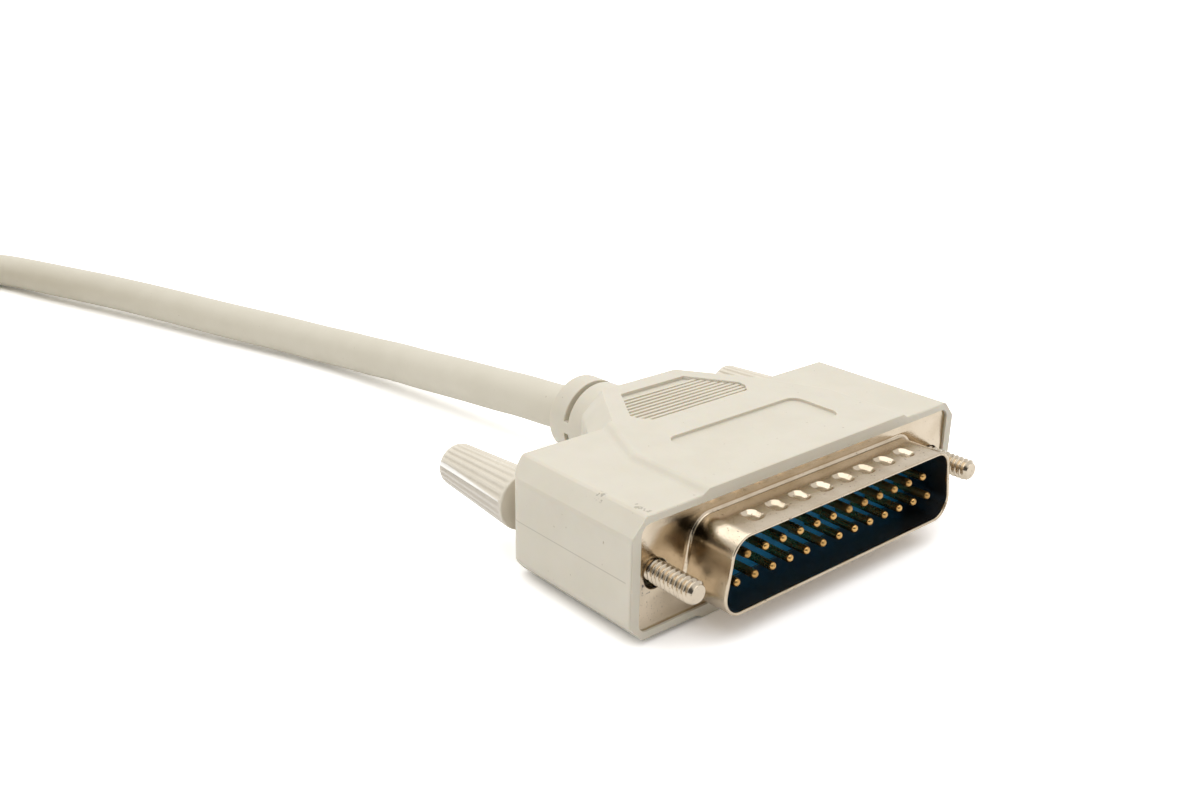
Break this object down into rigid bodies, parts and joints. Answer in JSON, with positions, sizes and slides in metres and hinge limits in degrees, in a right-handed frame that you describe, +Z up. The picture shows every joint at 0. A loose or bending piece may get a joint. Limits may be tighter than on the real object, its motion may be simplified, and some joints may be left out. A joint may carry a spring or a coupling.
{
  "type": "d-sub cable plug",
  "caption": "Moulded D-sub cable plug with a nickel shell, gold contacts and two thumbscrews, on a round cable with a like plug at its far end.",
  "frame": {"origin": "on the flange's front face, midway between the two thumbscrews and between the two rows of contacts", "axes": "-Y is the way the contacts point, +X runs along the plug's width, +Z is up with the shell's narrow side on top"},
  "size_m": [0.1491, 0.2061, 0.026],
  "materials": {
    "beige_hood": "satin moulded PVC",
    "beige_knob": "moulded, slightly glossy",
    "cable_jacket": "smooth PVC jacket",
    "nickel_shell": "nickel plated, satin",
    "nickel_screw": "nickel plated",
    "gold_contact": "gold flashed",
    "blue_insulator": "smooth",
    "inner_plastic": "plain",
    "wire_insulation": "plain",
    "black_tie": "ribbed"
  },
  "bodies": {
    "plug_and_cable": {"pin_01": "gold_contact", "pin_02": "gold_contact", "pin_03": "gold_contact", "pin_04": "gold_contact", "pin_05": "gold_contact", "pin_06": "gold_contact", "pin_07": "gold_contact", "pin_08": "gold_contact", "pin_09": "gold_contact", "pin_10": "gold_contact", "pin_11": "gold_contact", "pin_12": "gold_contact", "pin_13": "gold_contact", "pin_14": "gold_contact", "pin_15": "gold_contact", "pin_16": "gold_contact", "pin_17": "gold_contact", "pin_18": "gold_contact", "pin_19": "gold_contact", "pin_20": "gold_contact", "pin_21": "gold_contact", "pin_22": "gold_contact", "pin_23": "gold_contact", "pin_24": "gold_contact", "pin_25": "gold_contact", "insulator_front": "blue_insulator", "insulator_rear": "blue_insulator", "front_shell": "nickel_shell", "rear_shell": "nickel_shell", "hood": "beige_hood", "inner_mould": "inner_plastic", "strain_relief": "beige_hood", "conductors": "wire_insulation", "cable": "cable_jacket", "cable_coil": "cable_jacket", "coil_tie": "black_tie", "cable_tail": "cable_jacket", "far_hood": "beige_hood", "far_strain_relief": "beige_hood", "far_front_shell": "nickel_shell", "far_rear_shell": "nickel_shell", "far_insulator_front": "blue_insulator", "far_insulator_rear": "blue_insulator", "far_contacts": "gold_contact", "far_inner_mould": "inner_plastic", "far_conductors": "wire_insulation"},
    "left_thumbscrew": {"screw_left": "nickel_screw", "knob_left": "beige_knob"},
    "right_thumbscrew": {"screw_right": "nickel_screw", "knob_right": "beige_knob"},
    "far_left_thumbscrew": {"far_screw_left": "nickel_screw", "far_knob_left": "beige_knob"},
    "far_right_thumbscrew": {"far_screw_right": "nickel_screw", "far_knob_right": "beige_knob"}
  },
  "joints": [
    {"name": "left_thumbscrew_turn", "type": "hinge", "parent": "plug_and_cable", "child": "left_thumbscrew", "pos_m": [-0.02352, 0, 0], "axis": [0, 1, 0], "continuous": true},
    {"name": "right_thumbscrew_turn", "type": "hinge", "parent": "plug_and_cable", "child": "right_thumbscrew", "pos_m": [0.02352, 0, 0], "axis": [0, 1, 0], "continuous": true},
    {"name": "far_left_thumbscrew_turn", "type": "hinge", "parent": "plug_and_cable", "child": "far_left_thumbscrew", "pos_m": [-0.11802, 0.081, 0], "axis": [0, 1, 0], "continuous": true},
    {"name": "far_right_thumbscrew_turn", "type": "hinge", "parent": "plug_and_cable", "child": "far_right_thumbscrew", "pos_m": [-0.07098, 0.081, 0], "axis": [0, 1, 0], "continuous": true}
  ]
}
